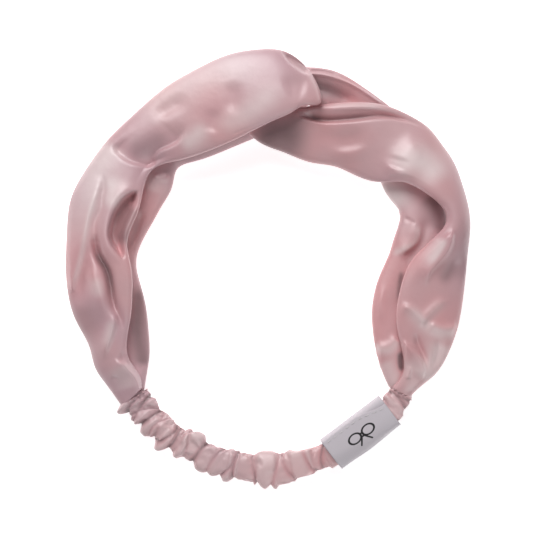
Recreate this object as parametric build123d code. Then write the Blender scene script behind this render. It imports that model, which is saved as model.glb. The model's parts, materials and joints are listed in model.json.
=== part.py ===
"""A knotted satin headband lying flat as a ring. Millimetres, +Z up, origin at the middle of its footprint.

Two satin tubes are each folded in half and linked at the top of the ring like two links of a chain: the
left one folds in an upright plane, so that its far end drops through the eye of the right one, which folds
in a level plane. The two ends of each tube are gathered to a neck, and the necks are joined at the bottom of
the ring by a flat elastic inside a gathered satin casing, which carries a loose folded label.

Angles are in degrees around the ring, anticlockwise from +X seen from above.
"""

import os
from math import atan2, cos, degrees, hypot, radians, sin

from build123d import *

# Driving dimensions
RING_WIDTH = 140.0        # across the middle of the band, left to right
RING_HEIGHT = 156.0       # from the middle of the knot to the middle of the casing
RING_CENTRE_Y = -4.8      # the ring's centre, so that the footprint's middle is the origin
LAYER = 9.0               # a satin tube's thickness where two lie on each other
LAYER_GAP = 0.9           # free height between two layers
REST_CUT = 0.35           # how much a layer is flattened by the surface that it lies on
SATIN_WIDTH = 31.0        # a satin tube's width at its widest, over the top left
NECK_WIDTH = 7.6          # a tube's gathered end
NECK_THICK = 3.4          # one gathered end; two lie on each other
NECK_GAP = 0.4            # between the two gathered ends
STRAND_WIDTH = 8.6        # the left tube where it drops through the eye, across the band
STRAND_THICK = 6.6        # the same, along the band
EYE_CLEARANCE = 0.9       # free space between that strand and the eye around it
EYE_WIDTH = 6.2           # the right tube's width where it leaves the eye on the ring's outside
EYE_INNER_WIDTH = 14.0    # the same on the ring's inside
EYE_REACH = 24.0          # how far the right tube's fold reaches under the left tube, past the strand
CASING_WIDTH = 11.4       # the gathered casing, across the band
CASING_HEIGHT = 9.0
SLOT_CLEARANCE = 0.35     # round the elastic inside the casing
ELASTIC_WIDTH = 8.0
ELASTIC_THICK = 1.2
LABEL_LENGTH = 30.0       # along the casing
LABEL_THICK = 0.6         # folded satin ribbon
LABEL_CLEARANCE = 0.45    # free space between the label and the casing
LABEL_SIDE_ROOM = 1.0     # extra free space at the label's two folded sides
LABEL_LAP = 7.0           # how far the label's end laps over its start
LABEL_STITCH_INSET = 1.6  # from the lap's edge to the stitches through it
LABEL_STITCHES = 9
LABEL_STITCH = 2.1        # length of one of them
LABEL_TO_JOIN = 7.3       # bare casing between the label and the right neck
THREAD = 0.5              # sewing thread, with the cloth that it draws in
STITCH = 3.0              # length of a seam stitch
STITCH_GAP = 2.2          # between seam stitches
JOIN_STITCHES = 14        # stitches round each join
JOIN_STITCH = 2.6         # length of one of them
TACK_BARS = 4             # bars of each tack through the elastic
TACK_REACH = 1.2          # how far a bar goes on into the cloth, above and below the elastic
TACK_INSET = 3.0          # from the casing's end to its tack
JOINT_GAP = 0.3           # between the left neck and the casing, which come apart as the ring spreads

# Places round the ring
KNOT_ANGLE = 81.0         # where the left tube drops through the eye
KNOT_OUT = 3.0            # how far outside the ring's middle line the knot sits
LEFT_NECK = 220.0
RIGHT_NECK = -38.5

# Heights of the layers' middles
LOW = LAYER / 2 - REST_CUT
MIDDLE = LOW + LAYER + LAYER_GAP
TOP = MIDDLE + LAYER + LAYER_GAP
LABEL_LIFT = 0.05         # between the label's lowest line and the surface below
CASING_Z = LABEL_LIFT + LABEL_THICK + LABEL_CLEARANCE + CASING_HEIGHT / 2


def ring_point(angle, out=0.0, z=0.0):
    """A point on the ring's middle line, or out millimetres outside it."""
    a, b, t = RING_WIDTH / 2, RING_HEIGHT / 2, radians(angle)
    normal = outward(angle)
    return Vector(a * cos(t), RING_CENTRE_Y + b * sin(t), z) + normal * out


def outward(angle):
    a, b, t = RING_WIDTH / 2, RING_HEIGHT / 2, radians(angle)
    return Vector(b * cos(t), a * sin(t), 0).normalized()


def clockwise(angle):
    """The level direction along the ring, clockwise seen from above."""
    n = outward(angle)
    return Vector(n.Y, -n.X, 0)


class Slice:
    """One oval slice of a soft tube: its middle, the ways the tube and its width run, and its size."""

    def __init__(self, centre, along, across, width, thick):
        self.centre = centre
        self.along = along.normalized()
        self.across = (across - self.along * self.along.dot(across)).normalized()
        self.width = width
        self.thick = thick

    def rim(self, turn):
        """The point on the outline at that many degrees from the across direction."""
        up = self.along.cross(self.across)
        t = radians(turn)
        return self.centre + self.across * (self.width / 2 * cos(t)) + up * (self.thick / 2 * sin(t))

    def rim_direction(self, turn):
        up = self.along.cross(self.across)
        t = radians(turn)
        return up * (self.thick * cos(t)) - self.across * (self.width * sin(t))

    def outline(self):
        """The closed outline, as four equal edges."""
        edges = []
        for start in (0, 90, 180, 270):
            points = [self.rim(start + step) for step in (0, 30, 60, 90)]
            tangents = [self.rim_direction(start), self.rim_direction(start + 90)]
            edges.append(Spline(*points, tangents=tangents))
        return Wire(edges)


def eased(before, start, end, after):
    """The value half-way between start and end, on the smooth curve through all four."""
    return (start + end) * 0.5625 - (before + after) * 0.0625


def with_midway(slices):
    """The slices with one more between each two, so that the tube bends smoothly."""
    smooth = [slices[0]]
    last = len(slices) - 1
    for n in range(last):
        near = [slices[max(n - 1, 0)], slices[n], slices[n + 1], slices[min(n + 2, last)]]
        middle = []
        for value in ("centre", "along", "across", "width", "thick"):
            middle.append(eased(*[getattr(one, value) for one in near]))
        smooth += [Slice(*middle), slices[n + 1]]
    return smooth


def ring_section(angle, out, z, width, thick, along=1, across=1):
    """A slice square to the ring. along is -1 where the tube runs anticlockwise, and across turns its start."""
    return Slice(ring_point(angle, out, z), clockwise(angle) * along, outward(angle) * across, width, thick)


# ---- the knot's own frame ----------------------------------------------------------------
BEND = (TOP - LOW) / 2                                    # radius of the left tube's upright turn
KNOT_CENTRE = ring_point(KNOT_ANGLE, KNOT_OUT, (TOP + LOW) / 2)
TO_RIGHT = clockwise(KNOT_ANGLE)
TO_OUTSIDE = outward(KNOT_ANGLE)
PIVOT = KNOT_CENTRE + TO_RIGHT * BEND                     # the strand that stands in the eye


def left_turn():
    """Slices round the upright turn, from the top layer down through the eye to the bottom layer."""
    slices = []
    for lift in (90, 45, 0, -45, -90):
        t = radians(lift)
        centre = KNOT_CENTRE + TO_RIGHT * (BEND * cos(t)) + Vector(0, 0, BEND * sin(t))
        along = TO_RIGHT * sin(t) - Vector(0, 0, cos(t))
        width = STRAND_WIDTH + (SATIN_WIDTH / 2 - STRAND_WIDTH) * abs(sin(t)) ** 2
        slices.append(Slice(centre, along, TO_OUTSIDE, width, STRAND_THICK))
    return slices


def neck_level(layer):
    """Height of one of the two gathered ends: layer is 1 for the upper one and -1 for the lower."""
    return CASING_Z + layer * (NECK_THICK + NECK_GAP) / 2


def left_upper_leg():
    """From the left neck up over the ring's left side, widest over the top left, to the turn."""
    wide = SATIN_WIDTH
    return [
        ring_section(LEFT_NECK, 0, neck_level(1), NECK_WIDTH, NECK_THICK),
        ring_section(214, 0, neck_level(1) + 2.5, 0.44 * wide, 0.55 * LAYER),
        ring_section(202, 0, MIDDLE, 0.64 * wide, 0.8 * LAYER),
        ring_section(182, 0.5, MIDDLE, 0.74 * wide, LAYER),
        ring_section(160, 1, MIDDLE, 0.72 * wide, LAYER),
        ring_section(140, 0, MIDDLE + 0.4 * LAYER, 0.8 * wide, LAYER),
        ring_section(120, 0.5, TOP - 0.1 * LAYER, wide, LAYER),
        ring_section(103, 1.5, TOP, 0.98 * wide, 0.85 * LAYER),
    ]


def left_lower_leg():
    """From the turn back to the left neck underneath, a little nearer the ring's inside."""
    wide = 0.65 * SATIN_WIDTH
    return [
        ring_section(103, 1, LOW, 0.8 * wide, 0.85 * LAYER, -1),
        ring_section(120, -1, LOW, wide, LAYER, -1),
        ring_section(140, -4, LOW, wide, LAYER, -1),
        ring_section(160, -4, LOW, wide, LAYER, -1),
        ring_section(182, -4, LOW, wide, LAYER, -1),
        ring_section(202, -2, LOW, 0.8 * wide, 0.75 * LAYER, -1),
        ring_section(214, -0.5, neck_level(-1) - 0.8, 0.6 * wide, 0.5 * LAYER, -1),
        ring_section(LEFT_NECK, 0, neck_level(-1), NECK_WIDTH, NECK_THICK, -1),
    ]


def eye_turn():
    """Slices round the level turn, from the wide inner leg round the strand to the narrow outer leg."""
    slices = []
    for swing in (-90, -135, 180, 135, 90):
        t = radians(swing)
        width = EYE_WIDTH + (EYE_INNER_WIDTH - EYE_WIDTH) * (1 - sin(t)) / 2
        beside = STRAND_WIDTH / 2 + EYE_CLEARANCE + width / 2
        centre = PIVOT + TO_RIGHT * (EYE_REACH * cos(t)) + TO_OUTSIDE * (beside * sin(t))
        along = TO_RIGHT * (EYE_REACH * sin(t)) - TO_OUTSIDE * (beside * cos(t))
        spoke = TO_RIGHT * (beside * cos(t)) + TO_OUTSIDE * (EYE_REACH * sin(t))
        slices.append(Slice(centre, along, spoke, width, LAYER - 0.6))
    return slices


def right_inner_leg():
    """From the right neck up the ring's right side as the upper layer, to the inside of the eye."""
    wide = SATIN_WIDTH
    return [
        ring_section(RIGHT_NECK, 0, neck_level(1), NECK_WIDTH, NECK_THICK, -1, -1),
        ring_section(-32, 0, neck_level(1) + 2.5, 0.48 * wide, 0.55 * LAYER, -1, -1),
        ring_section(-20, 1, MIDDLE, 0.7 * wide, 0.8 * LAYER, -1, -1),
        ring_section(0, 2, MIDDLE, 0.7 * wide, LAYER, -1, -1),
        ring_section(20, 3, MIDDLE, 0.63 * wide, LAYER, -1, -1),
        ring_section(38, 0, MIDDLE, 0.75 * wide, LAYER, -1, -1),
        ring_section(54, -5, MIDDLE, 0.76 * wide, LAYER, -1, -1),
        ring_section(67, -8.5, MIDDLE, 0.58 * wide, LAYER, -1, -1),
    ]


def right_outer_leg():
    """From the outside of the eye, down behind the other leg, to the right neck along the ring's inside."""
    wide = 0.63 * SATIN_WIDTH
    return [
        ring_section(67, 9.5, MIDDLE - 0.25 * LAYER, EYE_WIDTH, 0.9 * LAYER),
        ring_section(56, 11, LOW + 0.3 * LAYER, EYE_WIDTH, 0.9 * LAYER),
        ring_section(42, 5, LOW, 0.6 * wide, LAYER),
        ring_section(28, -2, LOW, wide, LAYER),
        ring_section(8, -5, LOW, wide, LAYER),
        ring_section(-14, -4, LOW, wide, 0.9 * LAYER),
        ring_section(-30, -1, neck_level(-1) - 0.5, 0.7 * wide, 0.5 * LAYER),
        ring_section(RIGHT_NECK, 0, neck_level(-1), NECK_WIDTH, NECK_THICK),
    ]


def rested(shape):
    """The shape without what would lie below the surface that it rests on."""
    size = RING_WIDTH + RING_HEIGHT
    return shape - Pos(0, 0, -size / 2) * Box(2 * size, 2 * size, size)


def left_band_slices():
    return with_midway(left_upper_leg() + left_turn() + left_lower_leg())


def right_band_slices():
    return with_midway(right_inner_leg() + eye_turn() + right_outer_leg())


def soft_tube(slices):
    return rested(Solid.make_loft([one.outline() for one in slices]))


# ---- the elastic tie's arc, through the two necks and the bottom of the ring ---------------
LEFT_END = ring_point(LEFT_NECK)
RIGHT_END = ring_point(RIGHT_NECK)
BOTTOM = ring_point(270)
TIE_ARC = ThreePointArc(LEFT_END, BOTTOM, RIGHT_END)
TIE_CENTRE = TIE_ARC.arc_center
TIE_RADIUS = hypot(BOTTOM.X - TIE_CENTRE.X, BOTTOM.Y - TIE_CENTRE.Y)


def tie_angle(point):
    angle = degrees(atan2(point.Y - TIE_CENTRE.Y, point.X - TIE_CENTRE.X))
    return angle % 360


TIE_START = tie_angle(LEFT_END) + degrees(JOINT_GAP / TIE_RADIUS)
TIE_END = tie_angle(RIGHT_END)
HALF_LABEL = degrees(LABEL_LENGTH / 2 / TIE_RADIUS)
LABEL_ANGLE = TIE_END - HALF_LABEL - degrees(LABEL_TO_JOIN / TIE_RADIUS)


def swept_round_tie(profile, start, end):
    """A profile, drawn with X outwards and Y up about the casing's middle, swept round the tie's arc."""
    return revolve(tie_frame(start) * profile, Axis(TIE_CENTRE, (0, 0, 1)), end - start)


def tie_frame(angle, out=0.0, z=0.0):
    """A plane on the tie's arc, with X outwards, Y up and Z along the arc."""
    spoke = Vector(cos(radians(angle)), sin(radians(angle)), 0)
    centre = TIE_CENTRE + spoke * (TIE_RADIUS + out) + Vector(0, 0, CASING_Z + z)
    return Plane(origin=centre, x_dir=spoke, z_dir=Vector(spoke.Y, -spoke.X, 0))


def casing_profile():
    slot = Rectangle(ELASTIC_WIDTH + 2 * SLOT_CLEARANCE, ELASTIC_THICK + 2 * SLOT_CLEARANCE)
    return Ellipse(CASING_WIDTH / 2, CASING_HEIGHT / 2) - slot


# The label's free space inside, from its middle to its folded sides and to its flat faces
LABEL_INNER_SIDE = CASING_WIDTH / 2 + LABEL_CLEARANCE + LABEL_SIDE_ROOM
LABEL_INNER_FACE = CASING_HEIGHT / 2 + LABEL_CLEARANCE


def label_oval(plies):
    """The outline of the label's inside with that many plies of ribbon round it."""
    return Ellipse(LABEL_INNER_SIDE + plies * LABEL_THICK, LABEL_INNER_FACE + plies * LABEL_THICK)


def label_profile():
    """The label's oval sleeve with its lapped end as a second ply over the top, from one folded side."""
    sleeve = label_oval(1) - label_oval(0)
    lap = Rectangle(LABEL_LAP, 2 * LABEL_INNER_FACE)
    over = Pos(LABEL_LAP / 2 - LABEL_INNER_SIDE, LABEL_INNER_FACE) * lap
    return sleeve + ((label_oval(2) - label_oval(1)) & over)


# ---- threads ---------------------------------------------------------------------------------------
def stitch(frame, length):
    """One stitch, lying along the frame's Z."""
    return frame * Cylinder(THREAD / 2, length)


def seam_stitches(slices, turn):
    """Running stitches that close a satin tube, sunk in its edge at that many degrees round its slices."""
    line = Spline(*[one.rim(turn) + one.across * (THREAD * -cos(radians(turn))) for one in slices])
    count = int(line.length / (STITCH + STITCH_GAP))
    made = []
    for n in range(count):
        u = (n + 0.5) / count
        made.append(stitch(Plane(origin=line @ u, z_dir=line % u), STITCH))
    return Compound(children=made)


def casing_seam():
    """Running stitches that close the casing, along its side towards the ring's inside."""
    pitch = degrees((STITCH + STITCH_GAP) / TIE_RADIUS)
    count = int((TIE_END - TIE_START) / pitch)
    made = []
    for n in range(count):
        angle = TIE_START + (n + 0.5) * (TIE_END - TIE_START) / count
        made.append(stitch(tie_frame(angle, THREAD - CASING_WIDTH / 2), STITCH))
    return Compound(children=made)


def join_stitches(angle, along):
    """A ring of short stitches round a neck, just outside the casing's mouth."""
    made = []
    for n in range(JOIN_STITCHES):
        t = radians(360 * (n + 0.5) / JOIN_STITCHES)
        out = (NECK_WIDTH / 2) * cos(t)
        z = (NECK_THICK + NECK_GAP / 2) * sin(t)
        frame = tie_frame(angle, out, z)
        made.append(stitch(frame.offset(along * (JOIN_STITCH / 2 + JOINT_GAP)), JOIN_STITCH))
    return Compound(children=made)


def label_stitches():
    """The row of stitches that closes the label's lap, parallel to the casing."""
    out = LABEL_LAP - LABEL_STITCH_INSET - LABEL_INNER_SIDE
    z = LABEL_INNER_FACE * (1 - (out / LABEL_INNER_SIDE) ** 2) ** 0.5 + 2 * LABEL_THICK
    made = []
    for n in range(LABEL_STITCHES):
        angle = LABEL_ANGLE + HALF_LABEL * (2 * (n + 0.5) / LABEL_STITCHES - 1)
        made.append(stitch(tie_frame(angle, out, z), LABEL_STITCH))
    return Compound(children=made)


def elastic_tack(angle):
    """Bars of thread through the elastic, one beside the other across its width."""
    made = []
    for n in range(TACK_BARS):
        out = ELASTIC_WIDTH * ((n + 0.5) / TACK_BARS - 0.5)
        upright = Plane(origin=tie_frame(angle, out).origin, z_dir=(0, 0, 1))
        made.append(stitch(upright, ELASTIC_THICK + 2 * TACK_REACH))
    return Compound(children=made)


def build():
    tack_inset = degrees(TACK_INSET / TIE_RADIUS)
    return {
        "left_band": soft_tube(left_band_slices()),
        "right_band": soft_tube(right_band_slices()),
        "left_band_seam": seam_stitches(left_band_slices(), 180),
        "right_band_seam": seam_stitches(right_band_slices(), 180),
        "elastic_casing": swept_round_tie(casing_profile(), TIE_START, TIE_END),
        "casing_seam": casing_seam(),
        "elastic": swept_round_tie(Rectangle(ELASTIC_WIDTH, ELASTIC_THICK), TIE_START, TIE_END),
        "label": swept_round_tie(label_profile(), LABEL_ANGLE - HALF_LABEL, LABEL_ANGLE + HALF_LABEL),
        "label_stitching": label_stitches(),
        "left_join_stitching": join_stitches(tie_angle(LEFT_END), 1),
        "right_join_stitching": join_stitches(TIE_END, -1),
        "left_elastic_tack": elastic_tack(TIE_START + tack_inset),
        "right_elastic_tack": elastic_tack(TIE_END - tack_inset),
    }


os.makedirs("parts", exist_ok=True)
for name, shape in build().items():
    export_step(shape, f"parts/{name}.step")
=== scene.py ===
"""Looks of a knotted satin headband: two linked satin tubes, a gathered elastic casing and a ribbon label.

Places are in millimetres in the headband's own frame, as the tables of each piece give them, and become
metres in the meshes. The ring lies flat: +Z is up, +Y is the knot's side.
"""

import json
import math

import bmesh
import bpy
import numpy as np
from mathutils import Matrix, Vector


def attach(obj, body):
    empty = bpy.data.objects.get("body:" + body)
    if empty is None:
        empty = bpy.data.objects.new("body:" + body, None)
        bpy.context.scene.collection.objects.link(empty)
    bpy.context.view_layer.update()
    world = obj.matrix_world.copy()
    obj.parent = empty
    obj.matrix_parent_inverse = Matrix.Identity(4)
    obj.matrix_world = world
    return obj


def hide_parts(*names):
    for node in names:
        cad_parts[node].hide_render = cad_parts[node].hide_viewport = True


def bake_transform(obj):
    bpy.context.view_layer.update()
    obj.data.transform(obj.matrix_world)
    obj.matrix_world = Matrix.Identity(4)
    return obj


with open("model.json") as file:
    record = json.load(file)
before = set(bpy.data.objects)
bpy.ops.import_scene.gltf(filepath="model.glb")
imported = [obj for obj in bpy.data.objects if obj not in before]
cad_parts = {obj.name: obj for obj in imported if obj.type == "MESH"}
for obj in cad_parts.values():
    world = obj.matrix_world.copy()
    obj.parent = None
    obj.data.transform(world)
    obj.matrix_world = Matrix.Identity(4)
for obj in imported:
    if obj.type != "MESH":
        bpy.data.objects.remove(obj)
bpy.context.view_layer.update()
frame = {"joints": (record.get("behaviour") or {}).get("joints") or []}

MM = 0.001


# ---- curves and folds --------------------------------------------------------------------------------

def spline(knots, values, at):
    """The natural cubic curve through values at the knots, read at the places at."""
    knots, values = np.asarray(knots, float), np.asarray(values, float)
    count = len(knots)
    step = np.diff(knots)
    matrix = np.eye(count)
    pull = np.zeros_like(values)
    for n in range(1, count - 1):
        matrix[n, n - 1:n + 2] = step[n - 1], 2 * (step[n - 1] + step[n]), step[n]
        pull[n] = 6 * ((values[n + 1] - values[n]) / step[n] - (values[n] - values[n - 1]) / step[n - 1])
    curve = np.linalg.solve(matrix, pull)
    n = np.clip(np.searchsorted(knots, at) - 1, 0, count - 2)
    shape = (-1,) + (1,) * (values.ndim - 1)
    width = step[n].reshape(shape)
    b = (np.asarray(at) - knots[n]).reshape(shape) / width
    a = 1 - b
    bend = (a ** 3 - a) * curve[n] + (b ** 3 - b) * curve[n + 1]
    return a * values[n] + b * values[n + 1] + bend * width ** 2 / 6


def through(points, count):
    """That many points, evenly spread, on the smooth curve through the given ones."""
    points = np.asarray(points, float)
    knots = np.concatenate([[0], np.cumsum(np.linalg.norm(np.diff(points, axis=0), axis=1))])
    return spline(knots, points, np.linspace(0, knots[-1], count))


def unit(vectors):
    return vectors / np.maximum(np.linalg.norm(vectors, axis=-1, keepdims=True), 1e-12)


def eased(low, high, value):
    """0 below low, 1 above high, and smooth between them."""
    t = np.clip((value - low) / (high - low), 0, 1)
    return t * t * (3 - 2 * t)


def fold_height(fold, places):
    """How far one fold lifts the cloth at each place. Left and right are as seen along its path."""
    path, height, left, right, sharp, fade = fold
    line = through(path, 60)
    gap = places[:, None, :] - line[None, :, :]
    nearest = np.argmin((gap ** 2).sum(2), axis=1)
    run = unit(np.gradient(line, axis=0))[nearest]
    offset = places - line[nearest]
    side = run[:, 0] * offset[:, 1] - run[:, 1] * offset[:, 0]
    past = np.maximum(np.abs((run * offset).sum(1)) - np.linalg.norm(line[1] - line[0]), 0)
    away = np.hypot(side, past)
    width = np.where(side > 0, left, right)
    share = nearest / (len(line) - 1)
    taper = eased(0, fade[0], share) if fade[0] else 1
    taper = taper * (eased(0, fade[1], 1 - share) if fade[1] else 1)
    return height * taper * np.exp(-((away / width) ** sharp))


# ---- meshes ------------------------------------------------------------------------------------------

def cloth_grid(around, along):
    """A grid to roll into a tube, with its own UV map: how far round and how far along each vertex is."""
    grid = bmesh.new()
    bmesh.ops.create_grid(grid, x_segments=around, y_segments=along, size=0.5, calc_uvs=True)
    places = np.array([v.co[:2] for v in grid.verts]) + 0.5
    return grid, places[:, 0], places[:, 1]


def placed(grid, points):
    for vertex, point in zip(grid.verts, points * MM):
        vertex.co = point


# Writes painted light into a vertex attribute: above 0 a painted highlight, below 0 painted shade.
def paint_light_and_shade(grid, amounts):
    layer = grid.verts.layers.float.new("tone_and_painted_light")
    for vertex, amount in zip(grid.verts, amounts):
        vertex[layer] = amount


def piece_from(name, grid, material):
    """The finished mesh object, closed at its seam and its ends, with smooth faces that point outwards."""
    bmesh.ops.remove_doubles(grid, verts=grid.verts[:], dist=1e-6)
    rims = [e for e in grid.edges if e.is_boundary]
    bmesh.ops.holes_fill(grid, edges=rims, sides=0)
    bmesh.ops.recalc_face_normals(grid, faces=grid.faces[:])
    return object_from(name, grid, material)


def object_from(name, grid, material):
    mesh = bpy.data.meshes.new(name)
    grid.to_mesh(mesh)
    grid.free()
    mesh.materials.append(material)
    mesh.shade_smooth()
    piece = bpy.data.objects.new(name, mesh)
    bpy.context.scene.collection.objects.link(piece)
    return piece


# ---- materials ---------------------------------------------------------------------------------------

class Link:
    """A socket that Python's operators work on, by adding Math nodes to its material."""

    def __init__(self, shader, socket):
        self.shader, self.socket = shader, socket

    def math(self, operation, other=None):
        values = [self] if other is None else [self, other]
        return self.shader.node("ShaderNodeMath", {"operation": operation}, *values)

    def __add__(self, other):
        return self.math("ADD", other)

    def __sub__(self, other):
        return self.math("SUBTRACT", other)

    def __mul__(self, other):
        return self.math("MULTIPLY", other)

    __radd__ = __add__
    __rmul__ = __mul__


class Shader:
    """A material under construction."""

    def __init__(self, name):
        self.material = bpy.data.materials.new(name)
        self.material.use_nodes = True
        self.tree = self.material.node_tree
        self.surface = self.tree.nodes["Principled BSDF"]

    def node(self, kind, settings, *values, output=0, **named):
        """A new node: its settings first, then its input values or links, by order or by name."""
        made = self.tree.nodes.new(kind)
        for key, value in settings.items():
            setattr(made, key, value)
        for n, value in list(enumerate(values)) + list(named.items()):
            key = n if isinstance(n, int) else n.replace("_", " ")
            self.feed(made.inputs[key], value)
        return Link(self, made.outputs[output])

    def feed(self, socket, value):
        if isinstance(value, Link):
            self.tree.links.new(value.socket, socket)
        else:
            socket.default_value = value

    def set(self, **named):
        for key, value in named.items():
            self.feed(self.surface.inputs[key.replace("_", " ")], value)

    def uv(self, scale):
        coordinates = self.node("ShaderNodeTexCoord", {}, output="UV")
        return self.node("ShaderNodeMapping", {}, coordinates, Scale=scale)

    def mix(self, share, one, other):
        made = self.tree.nodes.new("ShaderNodeMix")
        made.data_type = "RGBA"
        self.feed(made.inputs[0], share)
        self.feed(made.inputs[6], one)
        self.feed(made.inputs[7], other)
        return Link(self, made.outputs[2])


def satin(name, colour, pinker, mauve):
    """Polyester satin: long floats that gleam across the tube, fine slubs, creases from handling, painted
    highlights and shade.
    """
    cloth = Shader(name)
    places = cloth.node("ShaderNodeTexCoord", {}, output="Object")
    patches = cloth.node("ShaderNodeTexNoise", {}, places, Scale=34.0, Detail=1.0)
    cool = cloth.node("ShaderNodeTexNoise", {"noise_dimensions": "4D"}, places, W=3.0, Scale=26.0, Detail=1.0)
    tone_and_painted_light = cloth.mix(cloth.node("ShaderNodeMapRange", {}, patches, 0.45, 0.7), (*colour, 1), (*pinker, 1))
    tone_and_painted_light = cloth.mix(cloth.node("ShaderNodeMapRange", {}, cool, 0.5, 0.75), tone_and_painted_light, (*mauve, 1))
    # Painted light from a vertex attribute: above 0 it mixes the satin toward a pale painted highlight, below
    # 0 toward a deep painted shade.
    painted_light = cloth.node("ShaderNodeAttribute", {"attribute_name": "tone_and_painted_light"}, output="Fac")
    edge = cloth.node("ShaderNodeTexNoise", {}, places, Scale=150.0, Detail=2.0)
    painted_light = painted_light * (0.85 + 0.3 * edge)
    tone_and_painted_light = cloth.mix(painted_light.math("MAXIMUM", 0.0).math("MINIMUM", 1.0), tone_and_painted_light, (0.93, 0.775, 0.765, 1))
    tone_and_painted_light = cloth.mix((painted_light * -1.0).math("MAXIMUM", 0.0).math("MINIMUM", 1.0), tone_and_painted_light, (0.2, 0.105, 0.11, 1))
    slubs = cloth.node("ShaderNodeTexNoise", {}, cloth.uv((420.0, 36.0, 1.0)), Scale=1.0, Detail=2.0)
    tone_and_painted_light = cloth.mix(0.12 * slubs, tone_and_painted_light, (*mauve, 1))
    floats = cloth.node("ShaderNodeTexWave", {"wave_type": "BANDS", "bands_direction": "X"},
                        cloth.uv((120.0, 900.0, 1.0)), Scale=1.0, Distortion=6.0, Detail=2.0)
    creases = cloth.node("ShaderNodeTexNoise", {}, places, Scale=110.0, Detail=3.0, Roughness=0.45)
    weave = cloth.node("ShaderNodeBump", {}, Strength=0.1, Distance=0.0001, Height=floats)
    rumple = cloth.node("ShaderNodeBump", {}, Strength=0.5, Distance=0.0009, Height=creases, Normal=weave)
    cloth.set(Base_Color=tone_and_painted_light, Roughness=0.42 + 0.12 * slubs, Normal=rumple)
    cloth.set(Specular_IOR_Level=1.0, Sheen_Weight=0.12, Sheen_Roughness=0.35, Anisotropic=0.4)
    cloth.set(Coat_Weight=0.5, Coat_Roughness=0.42)
    return cloth.material


def thread(name, colour):
    """Twisted sewing thread: its plies run round it at a slant."""
    strand = Shader(name)
    places = strand.node("ShaderNodeTexCoord", {}, output="Object")
    twist = strand.node("ShaderNodeTexWave", {"wave_type": "BANDS", "bands_direction": "DIAGONAL"},
                        places, Scale=900.0, Distortion=0.5)
    shade = strand.mix(0.35 * twist, (*colour, 1), (0.3, 0.2, 0.2, 1))
    strand.set(Base_Color=shade, Roughness=0.55 + 0.2 * twist)
    strand.set(Normal=strand.node("ShaderNodeBump", {}, Strength=0.4, Distance=0.0001, Height=twist))
    return strand.material


def knit(name, colour):
    """Woven elastic: ribs along it, with rubber showing faintly in the grooves between them."""
    band = Shader(name)
    places = band.node("ShaderNodeTexCoord", {}, output="Object")
    ribs = band.node("ShaderNodeTexWave", {"wave_type": "RINGS", "rings_direction": "Z"}, places,
                     Scale=420.0, Distortion=0.4)
    picks = band.node("ShaderNodeTexNoise", {}, places, Scale=1800.0, Detail=1.0)
    shade = band.mix(0.5 * ribs, (*colour, 1), (0.42, 0.33, 0.34, 1))
    band.set(Base_Color=shade, Roughness=0.7 + 0.15 * picks)
    band.set(Normal=band.node("ShaderNodeBump", {}, Strength=0.6, Distance=0.0002, Height=ribs + 0.4 * picks))
    return band.material


SATIN = satin("dusty_pink_satin", (0.68, 0.405, 0.42), (0.74, 0.365, 0.375), (0.58, 0.365, 0.41))
THREAD = thread("pink_thread", (0.66, 0.42, 0.44))
WHITE_THREAD = thread("white_thread", (0.78, 0.76, 0.77))
ELASTIC = knit("white_elastic", (0.74, 0.70, 0.70))


# ---- the satin tubes ---------------------------------------------------------------------------------
# Each row is a slice: the point on its outer side, the point on its inner side, and its thickness.

LEFT_UPPER = [
    (-59.5, -57.8, 6.5, -51.3, -50.0, 7.5, 4.6),
    (-66.4, -48.0, 7.0, -52.5, -43.9, 9.0, 6.0),
    (-70.5, -41.4, 7.5, -56.2, -38.1, 11.5, 7.0),
    (-72.8, -32.8, 8.0, -57.0, -29.9, 12.8, 7.0),
    (-78.3, -22.1, 8.5, -55.4, -20.9, 14.0, 7.0),
    (-81.4, -11.5, 8.5, -54.6, -11.5, 15.5, 7.5),
    (-82.4, 0.0, 8.5, -54.9, -1.0, 16.5, 8.0),
    (-82.0, 11.9, 8.5, -56.6, 9.6, 16.5, 8.0),
    (-80.4, 27.5, 8.5, -52.2, 22.4, 15.5, 8.0),
    (-74.6, 39.0, 9.0, -49.6, 33.5, 14.5, 8.0),
    (-66.0, 50.8, 10.0, -45.5, 40.2, 14.0, 8.0),
    (-54.1, 62.3, 11.5, -35.7, 43.1, 15.0, 8.0),
    (-41.8, 72.6, 13.5, -24.6, 46.4, 17.5, 8.0),
    (-29.1, 79.8, 16.0, -13.5, 50.8, 20.0, 8.5),
    (-15.4, 85.6, 18.5, -3.7, 55.4, 23.0, 8.5),
    (-2.1, 87.6, 20.0, 5.3, 59.5, 24.3, 8.0),
    (6.5, 87.0, 19.5, 11.0, 62.2, 24.6, 7.0),
    (11.8, 84.4, 17.5, 15.6, 64.6, 24.0, 6.0),
    (14.6, 81.4, 15.5, 20.6, 65.0, 22.0, 5.4),
]
LEFT_TURN = [
    (15.4, 79.2, 12.5, 21.4, 66.2, 18.0, 5.0),
    (14.6, 77.6, 9.0, 20.4, 66.6, 12.5, 5.0),
    (13.0, 76.9, 5.6, 16.5, 66.0, 7.5, 5.6),
]
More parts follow.
